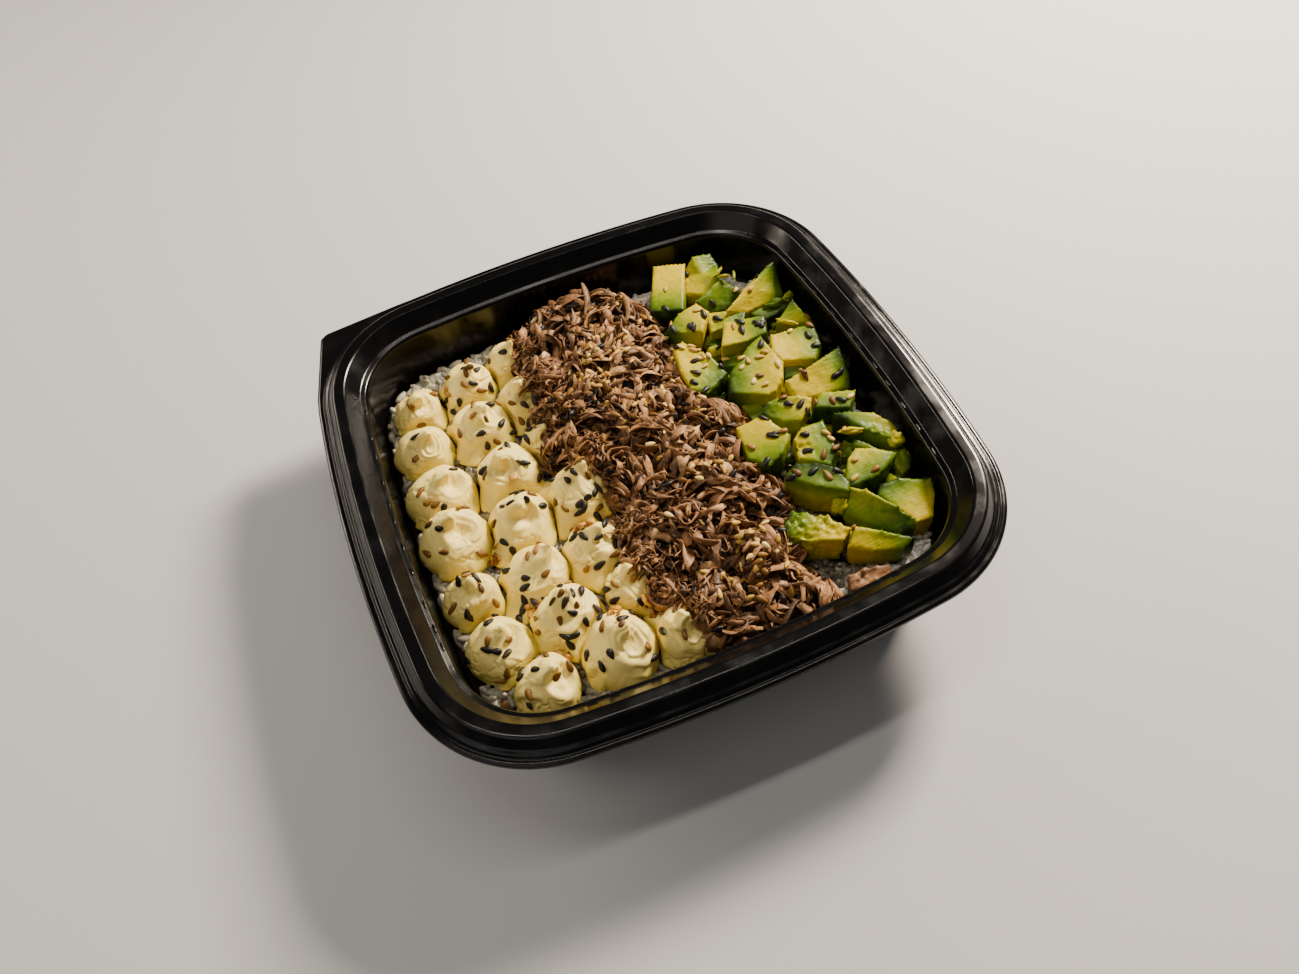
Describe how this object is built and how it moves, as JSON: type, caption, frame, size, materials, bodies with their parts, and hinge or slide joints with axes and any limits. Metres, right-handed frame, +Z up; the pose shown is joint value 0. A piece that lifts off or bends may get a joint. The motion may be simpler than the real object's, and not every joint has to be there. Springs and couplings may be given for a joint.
{
  "type": "poke bowl",
  "caption": "Poke bowl in a black takeaway container: rice under cream cheese dollops, shredded tuna and cut avocado, strewn with sesame.",
  "frame": {"origin": "middle of the base underside, on the surface that the bowl stands on", "axes": "+Z up; +Y towards the side with the tab's far edge; -X towards the cream cheese and +X towards the avocado"},
  "size_m": [0.1906, 0.1906, 0.044],
  "materials": {
    "container": "glossy thermoformed sheet",
    "rice": "moist cooked grain",
    "tuna": "moist shredded flesh",
    "cream_cheese": "smooth piped cream",
    "avocado": "moist cut flesh"
  },
  "bodies": {
    "root": {"bowl": "container", "rice": "rice", "tuna": "tuna", "tuna_flake": "tuna", "cream_cheese_01": "cream_cheese", "cream_cheese_02": "cream_cheese", "cream_cheese_03": "cream_cheese", "cream_cheese_04": "cream_cheese", "cream_cheese_05": "cream_cheese", "cream_cheese_06": "cream_cheese", "cream_cheese_07": "cream_cheese", "cream_cheese_08": "cream_cheese", "cream_cheese_09": "cream_cheese", "cream_cheese_10": "cream_cheese", "cream_cheese_11": "cream_cheese", "cream_cheese_12": "cream_cheese", "cream_cheese_13": "cream_cheese", "cream_cheese_14": "cream_cheese", "cream_cheese_15": "cream_cheese", "cream_cheese_16": "cream_cheese", "cream_cheese_17": "cream_cheese", "cream_cheese_18": "cream_cheese", "cream_cheese_19": "cream_cheese", "cream_cheese_20": "cream_cheese", "cream_cheese_21": "cream_cheese", "avocado_01": "avocado", "avocado_02": "avocado", "avocado_03": "avocado", "avocado_04": "avocado", "avocado_05": "avocado", "avocado_06": "avocado", "avocado_07": "avocado", "avocado_08": "avocado", "avocado_09": "avocado", "avocado_10": "avocado", "avocado_11": "avocado", "avocado_12": "avocado", "avocado_13": "avocado", "avocado_14": "avocado", "avocado_15": "avocado", "avocado_16": "avocado", "avocado_17": "avocado", "avocado_18": "avocado", "avocado_19": "avocado", "avocado_20": "avocado", "avocado_21": "avocado", "avocado_22": "avocado", "avocado_23": "avocado", "avocado_24": "avocado", "avocado_25": "avocado", "avocado_26": "avocado", "avocado_27": "avocado", "avocado_28": "avocado", "avocado_29": "avocado", "avocado_30": "avocado"}
  },
  "joints": []
}
